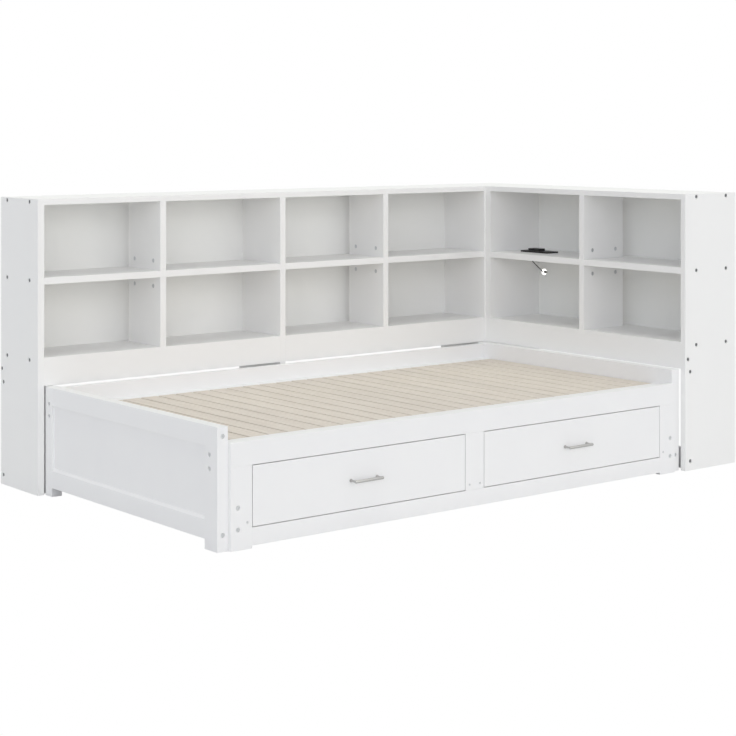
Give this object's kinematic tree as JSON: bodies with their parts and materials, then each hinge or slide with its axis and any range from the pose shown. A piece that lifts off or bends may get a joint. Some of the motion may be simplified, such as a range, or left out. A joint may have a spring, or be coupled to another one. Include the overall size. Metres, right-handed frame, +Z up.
{
  "type": "twin storage bed with corner bookcases",
  "caption": "White twin slatted bed with inset storage drawers below, set inside an L of open bookcases with a charging plate and a small reading lamp.",
  "frame": {"origin": "middle of the footprint, on the floor", "axes": "+X along the bed from the footboard to the headboard, +Y from the drawer fronts to the back bookcase, +Z up"},
  "size_m": [2.328, 1.3704, 1.008],
  "materials": {
    "white_paint": "satin white paint",
    "slat_wood": "pale unpainted softwood",
    "drawer_box_wood": "clear sealed pale wood",
    "zinc_steel": "zinc plated",
    "black_oxide_steel": "black oxide",
    "handle_nickel": "brushed nickel",
    "black_plastic": "fine matte",
    "lamp_metal": "dark satin",
    "opal_lens": "opal diffuser"
  },
  "bodies": {
    "frame": {"footboard_posts": "white_paint", "footboard_rails": "white_paint", "footboard_panel": "white_paint", "headboard_posts": "white_paint", "headboard_rails": "white_paint", "headboard_panel": "white_paint", "front_top_rail": "white_paint", "front_stiles": "white_paint", "front_bottom_rail": "white_paint", "front_corner_battens": "white_paint", "runner_battens": "white_paint", "front_side_rail": "white_paint", "back_side_rail": "white_paint", "slat_ledges": "white_paint", "bed_slats": "slat_wood", "centre_beam": "white_paint", "centre_legs": "white_paint", "slide_outer_members": "zinc_steel", "back_case_top": "white_paint", "back_case_end_panels": "white_paint", "back_case_inner_panels": "white_paint", "back_case_mid_shelves": "white_paint", "back_case_bottom_shelves": "white_paint", "back_case_dividers": "white_paint", "back_case_back_panels": "white_paint", "back_case_aprons": "white_paint", "back_case_base_rails": "white_paint", "side_case_top": "white_paint", "side_case_front_panel": "white_paint", "side_case_far_panel": "white_paint", "side_case_mid_shelf": "white_paint", "side_case_bottom_shelf": "white_paint", "side_case_dividers": "white_paint", "side_case_back_panel": "white_paint", "side_case_apron": "white_paint", "side_case_base_rails": "white_paint", "bed_bolts": "zinc_steel", "case_bolts": "black_oxide_steel", "runner_screws": "zinc_steel", "cam_locks": "zinc_steel", "charging_plate": "black_plastic", "charging_sockets": "black_plastic", "lamp_base": "lamp_metal"},
    "left_drawer": {"left_slide_inner_members": "zinc_steel", "left_drawer_front": "white_paint", "left_drawer_sides": "drawer_box_wood", "left_drawer_bottom": "drawer_box_wood", "left_drawer_back": "drawer_box_wood", "left_drawer_handle": "handle_nickel"},
    "right_drawer": {"right_slide_inner_members": "zinc_steel", "right_drawer_front": "white_paint", "right_drawer_sides": "drawer_box_wood", "right_drawer_bottom": "drawer_box_wood", "right_drawer_back": "drawer_box_wood", "right_drawer_handle": "handle_nickel"},
    "left_runner": {"left_slide_middle_members": "zinc_steel"},
    "right_runner": {"right_slide_middle_members": "zinc_steel"},
    "lamp_arm": {"lamp_neck": "lamp_metal"},
    "lamp_light": {"lamp_head": "lamp_metal", "lamp_lens": "opal_lens"}
  },
  "joints": [
    {"name": "left_drawer_slide", "type": "slide", "parent": "frame", "child": "left_drawer", "axis": [0, -1, 0], "range_m": [0, 0.4]},
    {"name": "right_drawer_slide", "type": "slide", "parent": "frame", "child": "right_drawer", "axis": [0, -1, 0], "range_m": [0, 0.4]},
    {"name": "left_runner_slide", "type": "slide", "parent": "frame", "child": "left_runner", "axis": [0, -1, 0], "range_m": [0, 0.2]},
    {"name": "right_runner_slide", "type": "slide", "parent": "frame", "child": "right_runner", "axis": [0, -1, 0], "range_m": [0, 0.2]},
    {"name": "lamp_swivel", "type": "hinge", "parent": "frame", "child": "lamp_arm", "pos_m": [1.011, 0.2732, 0.7127], "axis": [0, 0, 1], "range_deg": [-90, 90]},
    {"name": "lamp_tilt", "type": "hinge", "parent": "lamp_arm", "child": "lamp_light", "pos_m": [1.027, 0.2012, 0.6612], "axis": [1, 0, 0], "range_deg": [-60, 60]}
  ],
  "couplings": [
    {"joint": "left_runner_slide", "follows": "left_drawer_slide", "ratio": 0.5},
    {"joint": "right_runner_slide", "follows": "right_drawer_slide", "ratio": 0.5}
  ]
}
